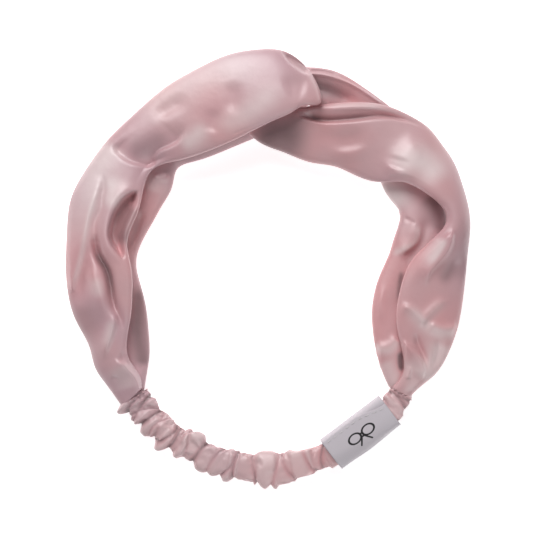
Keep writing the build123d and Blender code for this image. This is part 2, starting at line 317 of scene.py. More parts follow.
LEFT_LOWER = [
    (8.0, 77.0, 4.2, 11.0, 62.0, 4.6, 6.5),
    (1.2, 78.7, 4.3, 1.2, 56.0, 4.6, 7.5),
    (-13.1, 76.7, 4.3, -13.5, 49.4, 5.5, 8.0),
    (-27.5, 70.5, 4.3, -27.5, 43.9, 6.5, 8.0),
    (-41.8, 62.3, 4.3, -36.5, 40.6, 6.0, 8.0),
    (-54.1, 48.0, 4.3, -39.0, 32.8, 5.5, 8.0),
    (-62.3, 33.6, 4.3, -43.0, 25.4, 5.0, 8.0),
    (-67.2, 19.3, 4.3, -47.6, 17.2, 5.0, 8.0),
    (-70.5, 4.9, 4.3, -53.7, 3.3, 5.0, 8.0),
    (-70.5, -7.0, 4.3, -52.3, -6.6, 5.0, 7.5),
    (-68.4, -17.6, 4.3, -49.8, -16.8, 5.0, 7.5),
    (-66.4, -27.9, 4.3, -48.6, -27.9, 5.0, 7.0),
    (-62.3, -38.1, 4.5, -48.4, -37.3, 5.2, 6.0),
    (-58.2, -46.3, 5.0, -49.6, -45.5, 5.6, 5.0),
    (-56.8, -56.2, 4.4, -50.4, -50.6, 4.8, 3.6),
]

RIGHT_INNER = [
    (59.0, -53.9, 6.0, 52.0, -49.8, 7.5, 4.6),
    (63.6, -49.2, 7.0, 56.0, -43.6, 9.0, 6.0),
    (69.3, -44.4, 7.5, 55.6, -35.0, 11.5, 7.0),
    (75.0, -35.3, 7.5, 53.0, -22.6, 13.0, 7.5),
    (78.7, -25.0, 7.5, 54.5, -9.4, 14.0, 8.0),
    (80.8, -13.5, 7.5, 58.3, 1.2, 14.5, 8.0),
    (82.0, -1.2, 8.0, 64.5, 8.2, 15.5, 8.0),
    (82.4, 7.0, 9.0, 70.4, 13.5, 16.5, 8.0),
    (82.6, 14.8, 10.0, 73.4, 17.4, 17.0, 8.0),
    (81.8, 23.4, 10.0, 73.6, 21.6, 17.5, 8.0),
    (79.5, 33.6, 10.0, 70.6, 25.6, 17.5, 8.5),
    (76.3, 43.0, 10.0, 66.0, 29.0, 17.5, 8.5),
    (71.3, 50.6, 10.0, 60.6, 32.4, 16.5, 8.5),
    (66.6, 56.4, 11.0, 55.2, 34.4, 15.5, 8.5),
    (59.5, 61.1, 12.5, 49.0, 34.4, 13.5, 8.0),
    (49.6, 65.2, 14.5, 42.6, 35.0, 11.5, 8.0),
    (39.4, 66.8, 15.5, 35.8, 37.6, 10.2, 8.0),
    (30.0, 66.6, 15.5, 28.0, 41.0, 9.6, 8.0),
    (20.0, 65.6, 15.0, 17.6, 42.8, 9.6, 8.0),
    (9.0, 64.6, 14.0, 6.2, 47.0, 11.0, 7.5),
]
RIGHT_TURN = [
    (-0.8, 66.5, 13.5, -7.0, 54.0, 12.5, 7.0),
    (-1.0, 68.0, 13.0, -13.0, 64.0, 12.5, 6.5),
    (-0.5, 70.0, 13.0, -11.0, 75.0, 12.5, 6.0),
]
RIGHT_OUTER = [
    (5.0, 75.0, 12.5, 4.0, 81.0, 13.0, 5.4),
    (12.6, 72.0, 11.0, 16.0, 81.4, 13.0, 5.2),
    (19.6, 64.6, 9.0, 27.4, 79.9, 12.8, 5.2),
    (30.0, 63.5, 8.0, 38.0, 74.4, 12.0, 5.4),
    (39.0, 57.0, 7.0, 49.4, 66.6, 9.5, 5.8),
    (45.0, 48.0, 5.6, 60.5, 57.0, 6.0, 6.5),
    (46.5, 38.0, 4.8, 68.0, 46.0, 4.3, 7.5),
    (50.4, 28.6, 5.4, 72.0, 36.0, 4.3, 8.0),
    (55.0, 21.8, 6.8, 74.5, 24.0, 4.3, 8.0),
    (52.8, 12.5, 7.0, 75.0, 13.0, 4.3, 8.0),
    (50.4, 4.8, 6.2, 74.0, 2.0, 4.3, 8.0),
    (46.2, -5.0, 5.8, 72.0, -9.0, 4.3, 8.0),
    (43.6, -16.8, 5.8, 70.0, -19.0, 4.3, 8.0),
    (43.8, -25.8, 6.2, 66.0, -29.0, 4.3, 8.0),
    (45.0, -34.0, 6.5, 61.0, -38.0, 4.5, 6.5),
    (47.4, -42.6, 5.8, 57.5, -46.0, 5.0, 5.0),
    (50.4, -49.4, 4.8, 57.0, -54.4, 4.4, 3.6),
]

# Each fold is its path in plan, its height, its widths left and right, its sharpness, and how much of it
# fades in and out at its two ends.
LEFT_UPPER_FOLDS = [
    ([(-67.4, 38.6), (-69.3, 29.5), (-71.7, 22.6), (-73.4, 15.2), (-75.6, 4.0), (-78.5, -5.0),
      (-80.6, -12.3)],
     1.7, 1.6, 4.5, 1.3, (0.25, 0.1)),
    ([(-72.6, 12.0), (-74.0, 2.0), (-76.0, -8.0), (-76.5, -18.0)], -1.6, 3.6, 3.4, 2.0, (0.4, 0.4)),
    ([(-67.4, 38.6), (-66.1, 33.0), (-67.0, 27.3), (-67.0, 23.6), (-68.9, 20.3), (-69.4, 11.0)],
     -1.1, 0.9, 1.3, 1.4, (0.3, 0.0)),
    ([(-69.6, 14.0), (-68.8, 5.0), (-65.4, -1.1), (-63.8, -7.0), (-61.9, -16.4), (-58.4, -24.2),
      (-57.0, -29.0)],
     -5.6, 1.5, 1.2, 1.6, (0.2, 0.6)),
    ([(-71.6, 7.0), (-70.8, -2.0), (-68.4, -9.0), (-66.4, -17.0), (-63.4, -25.0)],
     1.7, 2.2, 4.0, 2.0, (0.4, 0.4)),
    ([(-60.6, -16.0), (-62.6, -25.0), (-65.6, -34.0), (-67.0, -39.0)], 1.6, 1.2, 3.4, 1.6, (0.3, 0.3)),
    ([(-50.6, 30.6), (-56.4, 27.6), (-60.4, 22.6), (-62.5, 17.0), (-62.9, 12.0), (-60.4, 7.4),
      (-56.8, 2.8)],
     -5.8, 5.4, 0.8, 2.4, (0.14, 0.12)),
    ([(-52.6, 33.0), (-59.4, 29.2), (-63.4, 23.0), (-65.1, 16.0), (-64.6, 9.6), (-61.6, 4.6),
      (-57.6, -1.0)],
     1.1, 1.4, 2.6, 2.0, (0.2, 0.3)),
    ([(-63.2, 49.9), (-59.9, 46.2), (-54.7, 42.8), (-49.1, 41.5), (-45.6, 40.3)],
     -2.3, 5.0, 0.8, 1.7, (0.2, 0.0)),
    ([(-45.6, 40.3), (-46.3, 44.7), (-43.9, 47.6), (-39.7, 49.4), (-35.0, 52.7), (-32.6, 57.9)],
     -2.2, 5.4, 1.0, 1.7, (0.0, 0.35)),
    ([(-63.0, -37.5), (-60.2, -39.1), (-56.2, -40.6), (-52.8, -43.5), (-51.6, -47.5)],
     2.0, 0.7, 6.0, 1.8, (0.3, 0.0)),
    ([(-60.4, -35.6), (-56.0, -37.6), (-52.6, -40.6)], -2.4, 2.2, 1.6, 2.0, (0.4, 0.1)),
    ([(-63.6, -45.2), (-60.2, -45.4)], -0.6, 0.5, 1.5, 1.5, (0.3, 0.4)),
    ([(6.4, 88.5), (9.9, 82.7), (14.6, 79.2), (17.8, 77.4)], -2.4, 7.0, 0.9, 2.0, (0.0, 0.2)),
    ([(6.0, 71.0), (12.0, 72.4), (17.0, 71.0)], -1.1, 4.0, 4.6, 2.0, (0.4, 0.3)),
    ([(-14.4, 75.0), (-13.4, 68.0), (-15.4, 60.0)], -1.0, 3.4, 3.0, 2.0, (0.4, 0.4)),
    ([(-21.0, 64.0), (-21.4, 58.0), (-22.6, 53.0)], -0.9, 2.6, 2.8, 2.0, (0.4, 0.3)),
    ([(-48.0, 61.0), (-42.0, 62.6), (-36.0, 65.6), (-30.0, 67.0)], -1.2, 3.4, 2.6, 2.0, (0.4, 0.4)),
    ([(-15.2, 52.4), (-4.0, 56.6), (6.8, 60.7), (13.1, 63.4), (20.0, 66.0)],
     -0.5, 0.5, 0.5, 2.0, (0.1, 0.1)),
]
LEFT_LOWER_FOLDS = [
    ([(-47.4, 37.0), (-42.0, 36.4), (-39.4, 37.0)], 0.8, 1.2, 1.6, 2.0, (0.3, 0.2)),
    ([(-50.0, 24.0), (-54.0, 14.0), (-57.0, 6.0)], -1.2, 2.0, 2.0, 2.0, (0.3, 0.3)),
]
RIGHT_UPPER_FOLDS = [
    ([(12.5, 62.0), (22.5, 59.5), (30.0, 59.5), (38.2, 60.3), (47.6, 61.2), (60.1, 58.7), (67.0, 55.6)],
     -3.6, 2.8, 0.8, 1.7, (0.15, 0.35)),
    ([(20.0, 64.4), (32.0, 64.9), (44.0, 64.6), (56.0, 61.6), (64.0, 57.6)],
     0.9, 1.6, 1.4, 2.0, (0.2, 0.3)),
    ([(14.0, 57.5), (22.0, 53.5), (34.0, 52.5), (44.0, 55.0)], -1.2, 3.4, 5.0, 2.0, (0.3, 0.4)),
    ([(24.0, 47.0), (34.0, 46.0), (43.0, 49.0)], 0.9, 2.2, 3.0, 2.0, (0.4, 0.4)),
    ([(64.0, 52.0), (58.0, 46.6), (53.0, 40.6), (48.6, 36.4)], 1.8, 9.0, 4.4, 2.0, (0.3, 0.2)),
    ([(54.0, 44.6), (52.0, 39.0)], -0.8, 3.0, 3.0, 2.0, (0.3, 0.3)),
    ([(75.2, 15.6), (73.8, 7.4), (69.8, 2.0), (66.2, -2.2), (64.8, -9.0)], 2.0, 1.0, 5.4, 1.5, (0.15, 0.3)),
    ([(77.6, 8.0), (75.4, -2.0), (70.6, -8.6)], -2.2, 4.0, 3.4, 2.0, (0.4, 0.35)),
    ([(53.6, -16.2), (58.2, -17.0), (62.6, -20.6), (66.0, -23.0)], 1.5, 1.1, 2.2, 1.6, (0.1, 0.2)),
    ([(66.0, -23.0), (71.6, -25.4), (78.6, -24.6)], 1.4, 1.8, 2.4, 1.8, (0.2, 0.1)),
    ([(63.6, -21.6), (69.0, -16.4), (75.0, -12.6)], 1.2, 2.0, 1.6, 1.8, (0.2, 0.4)),
    ([(54.0, -29.6), (58.6, -33.6), (62.4, -37.2), (64.0, -41.2), (63.4, -47.0)],
     1.5, 0.8, 3.2, 1.8, (0.05, 0.2)),
    ([(60.6, -26.0), (62.0, -31.4), (64.6, -37.0), (66.0, -42.0)], -1.6, 1.1, 1.7, 1.6, (0.35, 0.35)),
    ([(70.0, -28.0), (70.0, -35.0), (67.6, -42.6)], -1.0, 2.2, 1.6, 2.0, (0.4, 0.3)),
    ([(58.6, -40.0), (58.0, -46.0)], 0.9, 0.8, 0.9, 2.0, (0.4, 0.1)),
]
RIGHT_LOWER_FOLDS = [
    ([(16.8, 78.3), (22.5, 78.0), (28.7, 76.5), (35.4, 73.8), (41.3, 70.6), (48.0, 66.0)],
     1.5, 0.7, 0.9, 1.5, (0.0, 0.1)),
    ([(18.0, 80.0), (24.0, 79.5), (30.0, 77.6)], -0.9, 0.7, 0.6, 1.6, (0.1, 0.3)),
    ([(17.0, 73.6), (24.0, 72.6), (31.0, 69.6), (39.0, 65.0)], -2.6, 3.2, 3.4, 2.0, (0.0, 0.4)),
    ([(60.6, 18.6), (62.6, 13.8), (61.2, 9.6), (57.6, 7.0), (53.6, 5.2)], 0.9, 1.2, 3.6, 2.0, (0.3, 0.2)),
    ([(56.4, 20.2), (61.4, 17.4)], -0.5, 0.6, 0.8, 1.6, (0.2, 0.3)),
    ([(67.6, 23.0), (64.4, 14.6), (60.6, 6.0), (55.4, 0.4)], -1.1, 3.0, 2.4, 2.0, (0.3, 0.2)),
    ([(45.0, -33.4), (50.4, -32.4), (54.0, -28.6)], 1.1, 2.0, 4.0, 2.0, (0.1, 0.2)),
    ([(47.6, -6.0), (46.6, -16.0), (48.6, -25.0)], 0.9, 2.4, 2.0, 2.0, (0.4, 0.4)),
]


# Each patch of painted light has a path and widths as a fold does. Above 0 it is a painted highlight, paler
# satin there, and below 0 painted shade, deeper satin.
LEFT_UPPER_PAINTED_LIGHT = [
    ([(-56.0, 58.0), (-42.0, 69.0), (-26.0, 77.0), (-8.0, 80.0), (4.0, 80.0)],
     0.5, 9.0, 8.0, 2.0, (0.3, 0.3)),
    ([(-62.0, 52.0), (-69.0, 38.0), (-73.0, 22.0), (-76.0, 2.0)], 0.7, 7.0, 8.0, 2.0, (0.1, 0.7)),
    ([(-67.4, 36.0), (-71.5, 22.6), (-75.4, 5.0), (-80.2, -11.0)], 0.4, 1.4, 1.0, 2.0, (0.3, 0.2)),
    ([(-64.0, 38.0), (-62.0, 30.0), (-65.0, 22.0)], 0.6, 4.0, 3.0, 2.0, (0.3, 0.3)),
    ([(-36.0, 48.0), (-28.0, 53.0), (-24.0, 60.0)], 0.6, 3.4, 4.0, 2.0, (0.3, 0.4)),
    ([(-24.0, 55.0), (-12.0, 59.0), (0.0, 67.0), (8.0, 74.0)], 0.5, 5.0, 5.0, 2.0, (0.3, 0.3)),
    ([(-61.0, -39.0), (-58.0, -45.0), (-56.0, -51.0)], 0.35, 5.0, 5.0, 2.0, (0.3, 0.2)),
    ([(-69.0, -3.0), (-68.4, -9.0), (-67.4, -14.0)], 0.5, 2.4, 2.6, 2.0, (0.4, 0.4)),
    ([(-62.4, -20.0), (-63.6, -28.0), (-66.0, -35.0)], 0.5, 1.4, 2.6, 2.0, (0.3, 0.4)),
    ([(-57.0, 49.0), (-48.0, 48.6), (-39.0, 53.6)], -0.3, 5.0, 5.0, 2.5, (0.2, 0.3)),
    ([(-76.0, -12.0), (-73.0, -22.0), (-69.0, -30.0)], -0.3, 6.0, 6.0, 2.0, (0.4, 0.4)),
    ([(-69.0, 9.0), (-68.4, 4.0), (-65.2, -1.1), (-63.6, -7.0), (-61.7, -16.4), (-58.4, -24.0)],
     -0.9, 1.5, 1.2, 2.0, (0.15, 0.6)),
    ([(-53.6, 26.0), (-57.6, 20.0), (-59.0, 13.0), (-58.0, 7.0)], -0.65, 4.0, 3.4, 2.5, (0.2, 0.25)),
    ([(8.6, 86.6), (13.0, 83.0), (17.0, 79.6)], -0.3, 4.0, 2.0, 2.5, (0.1, 0.1)),
]
LEFT_LOWER_PAINTED_LIGHT = [
    ([(-45.0, 38.0), (-48.0, 30.0)], 0.35, 4.0, 4.0, 2.0, (0.2, 0.3)),
    ([(-51.6, -6.0), (-52.6, -16.0), (-52.6, -28.0), (-50.6, -42.0)], -0.8, 3.4, 3.4, 2.0, (0.2, 0.1)),
]
RIGHT_UPPER_PAINTED_LIGHT = [
    ([(50.0, 40.0), (59.0, 43.0), (66.0, 40.0), (71.0, 32.0)], 0.75, 6.0, 6.0, 2.0, (0.2, 0.3)),
    ([(72.6, 12.0), (69.0, 5.0), (64.0, -1.0)], 0.7, 1.4, 3.0, 2.0, (0.2, 0.4)),
    ([(53.8, -17.0), (58.4, -17.8), (63.0, -21.4), (66.4, -24.6), (73.0, -27.0), (78.0, -26.0)],
     0.55, 2.2, 3.4, 2.0, (0.3, 0.1)),
    ([(64.6, -21.0), (69.4, -16.6), (74.0, -13.0)], 0.3, 2.4, 2.4, 2.0, (0.3, 0.5)),
    ([(72.0, -30.0), (69.0, -38.0), (62.0, -47.0)], 0.65, 6.0, 5.0, 2.0, (0.2, 0.2)),
    ([(56.0, -36.0), (58.6, -44.0), (59.0, -52.0)], 0.35, 4.0, 3.0, 2.0, (0.3, 0.1)),
    ([(59.0, -25.0), (63.0, -33.0), (65.4, -40.0)], -0.12, 2.0, 2.0, 2.0, (0.3, 0.3)),
    ([(24.0, 64.6), (38.0, 65.4), (50.0, 64.2)], 0.3, 1.4, 1.2, 2.0, (0.2, 0.3)),
    ([(81.0, 22.0), (82.0, 6.0), (79.0, -10.0)], -0.26, 6.0, 5.0, 2.0, (0.3, 0.3)),
    ([(76.0, 4.0), (74.0, -3.0), (70.0, -8.0)], -0.35, 4.0, 3.4, 2.0, (0.4, 0.35)),
    ([(15.0, 61.6), (23.0, 60.3), (31.0, 60.4), (39.0, 61.2), (48.0, 62.0)],
     -0.75, 1.3, 1.0, 2.0, (0.15, 0.4)),
    ([(2.0, 52.0), (10.0, 52.0), (20.0, 51.0)], -0.8, 8.0, 8.0, 2.5, (0.0, 0.6)),
    ([(24.0, 52.0), (36.0, 51.0), (44.0, 55.0)], -0.12, 7.0, 8.0, 2.5, (0.4, 0.4)),
]
RIGHT_LOWER_PAINTED_LIGHT = [
    ([(16.0, 76.4), (22.0, 74.0), (29.0, 71.0), (36.0, 67.6)], -0.85, 2.2, 4.0, 2.0, (0.0, 0.6)),
    ([(21.0, 67.0), (26.0, 66.6)], 0.4, 1.6, 1.6, 2.0, (0.2, 0.2)),
    ([(44.0, 36.0), (51.0, 28.0), (54.0, 20.0)], 0.95, 7.0, 5.6, 2.5, (0.1, 0.4)),
    ([(62.0, 18.0), (62.4, 12.6), (60.4, 9.2), (56.0, 7.0), (51.0, 4.0)], 0.6, 1.2, 1.6, 2.0, (0.2, 0.2)),
    ([(66.0, 31.0), (71.0, 24.0), (73.0, 17.0), (70.0, 12.0)], -0.75, 3.6, 4.6, 2.0, (0.2, 0.2)),
    ([(64.0, 18.0), (62.0, 8.0), (56.0, -1.0)], -0.28, 2.4, 2.0, 2.0, (0.3, 0.2)),
    ([(55.8, -1.0), (54.6, -8.0), (54.4, -18.0)], -0.8, 1.4, 1.0, 2.0, (0.2, 0.4)),
    ([(44.0, -33.0), (50.0, -34.0), (54.0, -30.0)], 0.5, 2.0, 2.4, 2.0, (0.1, 0.1)),
    ([(48.0, -38.0), (51.0, -44.0), (54.0, -52.0)], 0.5, 4.0, 4.0, 2.0, (0.2, 0.1)),
    ([(55.4, -34.0), (55.0, -39.0), (56.0, -44.0)], -1.4, 1.2, 1.2, 2.0, (0.3, 0.3)),
]


LINE_STEPS = 1200       # slices worked out along a tube, for its mesh to pick from


class Tube:
    """A folded satin tube: oval slices lofted through its rows, with folds in its layers' upper sides and
    painted light in its colour.
    """

    def __init__(self, upper, turn, lower, upper_folds, lower_folds, upper_painted_light, lower_painted_light):
        rows = np.array(upper + turn + lower)
        middle = (rows[:, 0:3] + rows[:, 3:6]) / 2
        knots = np.concatenate([[0], np.cumsum(np.linalg.norm(np.diff(middle, axis=0), axis=1))])
        self.length = knots[-1]
        self.turn_share = knots[len(upper)] / knots[-1]
        self.line = spline(knots, rows, np.linspace(0, knots[-1], LINE_STEPS))
        self.folds = upper_folds, lower_folds
        self.painted_light_patches = upper_painted_light, lower_painted_light

    def points(self, turn, reach):
        """The surface at shares turn round a slice and reach along the tube."""
        line = self.line
        centre = (line[:, 0:3] + line[:, 3:6]) / 2
        across = line[:, 3:6] - line[:, 0:3]
        up = unit(np.cross(across, unit(np.gradient(centre, axis=0))))
        last = LINE_STEPS - 1
        pick = np.clip((reach * last).round().astype(int), 0, last)
        cosine, sine = np.cos(2 * math.pi * turn), np.sin(2 * math.pi * turn)
        side = np.sign(cosine) * np.abs(cosine) ** 0.92
        lift = np.sign(sine) * np.abs(sine) ** 0.95
        points = centre[pick] + across[pick] / 2 * side[:, None]
        points += up[pick] * (line[pick, 6] / 2 * lift)[:, None]
        over = np.clip(up[pick, 2] * lift * 1.6, 0, 1) * np.clip((1 - side ** 2) * 2.6, 0, 1)
        points[:, 2] += self.summed(self.folds, points, reach) * over
        points[:, 2] = np.maximum(points[:, 2], 0.15)
        return points

    def summed(self, shapes, points, reach):
        """The first list's shapes added up on the first layer, and the second list's on the second."""
        first = 1 - eased(self.turn_share - 0.02, self.turn_share + 0.02, reach)
        on_first, on_second = (sum(fold_height(shape, points[:, :2]) for shape in layer)
                               for layer in shapes)
        return on_first * first + on_second * (1 - first)

    def piece(self, name, around=150, along=520):
        grid, turn, reach = cloth_grid(around, along)
        points = self.points(turn, reach)
        placed(grid, points)
        # Painted highlights and painted shade: the patch tables, added up on each layer, go into a vertex
        # attribute that the satin reads.
        paint_light_and_shade(grid, self.summed(self.painted_light_patches, points, reach))
        return piece_from(name, grid, SATIN)

    def seam(self, name, turn, pitch=5.2, length=3.0):
        """Running stitches along the tube's closing seam."""
        reach = np.arange(0.02, 0.98, pitch / self.length)
        here, there = (self.points(np.full(len(reach), turn), reach + half * length / self.length)
                       for half in (-0.5, 0.5))
        inside = self.points(np.full(len(reach), turn + 0.5), reach)
        return stitches(name, here, there, unit((here + there) / 2 - inside), 0.32, THREAD)


def stitches(name, here, there, outward, thick, material):
    """One piece of stitches, each a slim bead from here to there that dips into the cloth at its ends."""
    row = bmesh.new()
    for start, end, out in zip(here, there, outward):
        run = unit(end - start)
        side = unit(np.cross(out, run))
        out = np.cross(run, side)
        middle = (start + end) / 2 + out * thick * 0.15
        axes = np.stack([(end - start) / 2, side * thick, out * thick, middle], axis=1) * MM
        place = Matrix([*axes.tolist(), [0, 0, 0, 1]])
        bmesh.ops.create_icosphere(row, subdivisions=2, radius=1.0, matrix=place)
    return object_from(name, row, material)


left_tube = Tube(LEFT_UPPER, LEFT_TURN, LEFT_LOWER, LEFT_UPPER_FOLDS, LEFT_LOWER_FOLDS,
                 LEFT_UPPER_PAINTED_LIGHT, LEFT_LOWER_PAINTED_LIGHT)
right_tube = Tube(RIGHT_INNER, RIGHT_TURN, RIGHT_OUTER, RIGHT_UPPER_FOLDS, RIGHT_LOWER_FOLDS,
                  RIGHT_UPPER_PAINTED_LIGHT, RIGHT_LOWER_PAINTED_LIGHT)
for tube, side, seam_turn in ((left_tube, "left", 0.56), (right_tube, "right", 0.44)):
    band = tube.piece(side + "_satin_tube")
    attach(band, side + "_half")
    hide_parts(side + "_band")
    side + "_join_stitching"
    seam = tube.seam(side + "_tube_seam", seam_turn)
    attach(seam, side + "_half")
    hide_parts(side + "_band_seam")


# ---- the gathered casing -----------------------------------------------------------------------------
TIE_CENTRE = np.array(frame["joints"][1]["pos_m"][:2]) / MM
TIE_RADIUS = 65.6                       # of the elastic's middle line
TIE_HEIGHT = frame["joints"][1]["pos_m"][2] / MM
TIE_START, TIE_END = 211.6, 329.8       # degrees, over the ends of the two satin tubes
CASING_FULLNESS = 1.45                  # cloth cut that many times as long as the gathered casing
CASING_FLAT = 14.0                      # width of the sewn tube, pressed flat
SIM_SCALE = 50.0                        # the solver works best on pieces a metre or so long
LABEL_DEGREES = 307.1                   # of the label's middle, round the ring
LABEL_HALF_ARC = 13.0                   # degrees of the ring from there to either end of the label


def tie_point(angle, out, up):
    """A point beside the elastic's middle line: out from the ring's middle, and up."""
    turn = np.radians(angle)
    reach = TIE_RADIUS + out
    places = TIE_CENTRE[0] + reach * np.cos(turn), TIE_CENTRE[1] + reach * np.sin(turn), TIE_HEIGHT + up
    return np.stack(np.broadcast_arrays(*places), axis=-1)


def gathers(reach, spin):
    """How full the casing is at each place before its cloth settles, and how hard it is pinched there."""
    draw = np.random.default_rng(11)
    folds = [0.0]
    while folds[-1] < 1:
        tight = min(folds[-1], abs(1 - folds[-1])) < 0.22
        folds.append(folds[-1] + draw.uniform(*((0.016, 0.03) if tight else (0.024, 0.07))))
    folds = np.array(folds)
    slants = draw.uniform(-0.02, 0.02, (len(folds), 2))
    depths = draw.uniform(0.3, 1.0, (len(folds), 3))
    sizes = draw.uniform(0.1, 1.0, (len(folds), 2)) ** 1.3
    shifted = folds[None, :] + slants[:, 0] * np.cos(spin)[:, None] + slants[:, 1] * np.sin(spin)[:, None]
    gap = np.abs(reach[:, None] - shifted)
    nearest = np.argmin(gap, axis=1)
    share = 0.5 + 0.5 * np.cos(spin)
    depth = share * depths[nearest, 0] + (1 - share) * depths[nearest, 1]
    depth = np.where(np.sin(spin) > 0, depth * (1 - 0.6 * np.abs(np.sin(spin)) * depths[nearest, 2]), depth)
    puff = np.clip(np.searchsorted(folds, reach), 1, len(folds) - 1) - 1
    size = share * sizes[puff, 0] + (1 - share) * sizes[puff, 1]
    pinch = depth * np.exp(-((gap.min(axis=1) / 0.0065) ** 1.3))
    return (0.3 + 0.85 * size) * (1 - 1.25 * pinch), pinch


def gathered_casing(around=40, along=230):
    """The casing, cut long and let go round the elastic until its cloth has folded into gathers."""
    grid, turn, reach = cloth_grid(around, along)
    grid.verts.ensure_lookup_table()
    angle = TIE_START + (TIE_END - TIE_START) * reach
    spin = 2 * math.pi * turn
    full, pinch = gathers(reach, spin)
    # Painted light on the casing: a painted highlight where its puffs are full and painted shade where its
    # gathers pinch.
    paint_light_and_shade(grid, 0.45 * full - 2.3 * pinch ** 1.5)
    left, right = 1 - eased(0.01, 0.026, reach), 1 - eased(0.008, 0.022, 1 - reach)
    free = 1 - left - right
    mouth = (1 - eased(0.03, 0.1, reach)) * 0.9 + (1 - eased(0.03, 0.08, 1 - reach)) * 0.4
    wide = (3.9 + mouth + np.where(np.cos(spin) > 0, 5.2, 3.0) * full) * free + 5.0 * left + 4.4 * right
    high = (1.8 + mouth + 2.6 * full) * free + 3.4 * left + 3.2 * right
    start = tie_point(angle, wide * np.cos(spin) + 0.9 * left, high * np.sin(spin) + 0.4 * left)
    length = math.radians(TIE_END - TIE_START) * TIE_RADIUS * CASING_FULLNESS
    radius = CASING_FLAT / math.pi
    cut = np.stack([length * (reach - 0.5), radius * np.cos(spin), radius * np.sin(spin)], axis=1)
    placed(grid, start * SIM_SCALE)
    ends = np.minimum(reach, 1 - reach) < 1.5 / along
    as_cut = grid.verts.layers.float_vector.new("as_cut")
    for vertex, flat in zip(grid.verts, cut * MM * SIM_SCALE):
        vertex[as_cut] = flat
    held = grid.verts.layers.deform.new()
    for vertex, end in zip(grid.verts, ends):
        vertex[held][0] = 1.0 if end else 0.0
    bmesh.ops.remove_doubles(grid, verts=grid.verts[:], dist=1e-5)
    mesh = bpy.data.meshes.new("casing_cloth")
    grid.to_mesh(mesh)
    grid.free()
    cloth = bpy.data.objects.new("casing_cloth", mesh)
    bpy.context.scene.collection.objects.link(cloth)
    cloth.vertex_groups.new(name="held")
    cloth.shape_key_add(name="as_sewn")
    flat = np.empty(len(mesh.vertices) * 3, np.float32)
    mesh.attributes["as_cut"].data.foreach_get("vector", flat)
    cloth.shape_key_add(name="as_cut").data.foreach_set("co", flat)
    settle(cloth, tie_core(), frames=12)
    settled = bmesh.new()
    settled.from_mesh(cloth.data)
    bpy.data.objects.remove(cloth)
    for vertex in settled.verts:
        vertex.co /= SIM_SCALE
    clear_of_label(settled)
    casing = piece_from("gathered_casing", settled, SATIN)
    finer = casing.modifiers.new("finer", "SUBSURF")
    finer.levels = finer.render_levels = 1
    return casing


def clear_of_label(settled):
    """Presses the puffs flatter where the label lies or slides, so that they stay inside it."""
    places = np.array([v.co for v in settled.verts]) / MM
    away = places[:, :2] - TIE_CENTRE
    angle = np.degrees(np.arctan2(away[:, 1], away[:, 0])) % 360
    reach = np.linalg.norm(away, axis=1)
    under = eased(277, 282, angle)
    out = reach - TIE_RADIUS
    off = angle - LABEL_DEGREES
    chord = TIE_RADIUS * math.cos(math.radians(LABEL_HALF_ARC)) / np.cos(np.radians(off)) + 0.6
    middle = np.where(np.abs(off) < LABEL_HALF_ARC + 2, chord - TIE_RADIUS, 0.0)
    out = out + under * (held_within(out - middle, 5.4) + middle - out)
    up = places[:, 2] - TIE_HEIGHT
    up = up + under * (held_within(up, 3.6) - up)
    flat = TIE_CENTRE + away * ((TIE_RADIUS + out) / reach)[:, None]
    for vertex, place, height in zip(settled.verts, flat, up + TIE_HEIGHT):
        vertex.co = (place[0] * MM, place[1] * MM, height * MM)


def held_within(amount, limit):
    """The amount itself while it is small, and ever closer to the limit as it grows past it."""
    past = np.maximum(np.abs(amount) - (limit - 1.2), 0)
    return np.sign(amount) * (np.minimum(np.abs(amount), limit - 1.2) + 1.2 * (1 - np.exp(-past / 1.2)))


def tie_core():
    """The flat elastic that the casing closes round while it settles."""
    core, turn, reach = cloth_grid(12, 60)
    spin = 2 * math.pi * turn
    angle = TIE_START - 1 + (TIE_END - TIE_START + 2) * reach
    placed(core, tie_point(angle, 4.0 * np.cos(spin), 1.0 * np.sin(spin)) * SIM_SCALE)
    return piece_from("casing_core", core, SATIN)


def settle(cloth, core, frames):
    """Runs the cloth solver on a piece with its cut shape at rest, leaves the result in its mesh."""
    core.modifiers.new("solid", "COLLISION")
    core.collision.thickness_outer = 0.012
    solver = cloth.modifiers.new("cloth", "CLOTH")
    solver.settings.quality = 6
    solver.settings.mass = 0.3
    solver.settings.air_damping = 2.0
    solver.settings.tension_stiffness = 25
    solver.settings.compression_stiffness = 25
    solver.settings.shear_stiffness = 6
    solver.settings.bending_stiffness = 0.15
    solver.settings.tension_damping = solver.settings.compression_damping = 10
    solver.settings.shear_damping = 5
    solver.settings.effector_weights.gravity = 0
    solver.settings.vertex_group_mass = "held"
    solver.settings.rest_shape_key = cloth.data.shape_keys.key_blocks["as_cut"]
    solver.collision_settings.distance_min = 0.012
    solver.collision_settings.use_self_collision = True
    solver.collision_settings.self_distance_min = 0.014
    solver.point_cache.frame_end = frames
    scene = bpy.context.scene
    scene.frame_start, scene.frame_end = 1, frames
    for number in range(1, frames + 1):
        scene.frame_set(number)
    seen = cloth.evaluated_get(bpy.context.evaluated_depsgraph_get())
    co = np.empty(len(seen.data.vertices) * 3)
    seen.data.vertices.foreach_get("co", co)
    cloth.modifiers.remove(solver)
    cloth.shape_key_clear()
    cloth.data.vertices.foreach_set("co", co)
    cloth.data.update()
    bpy.data.objects.remove(core)


casing = gathered_casing()
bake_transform(casing)
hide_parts("elastic_casing")


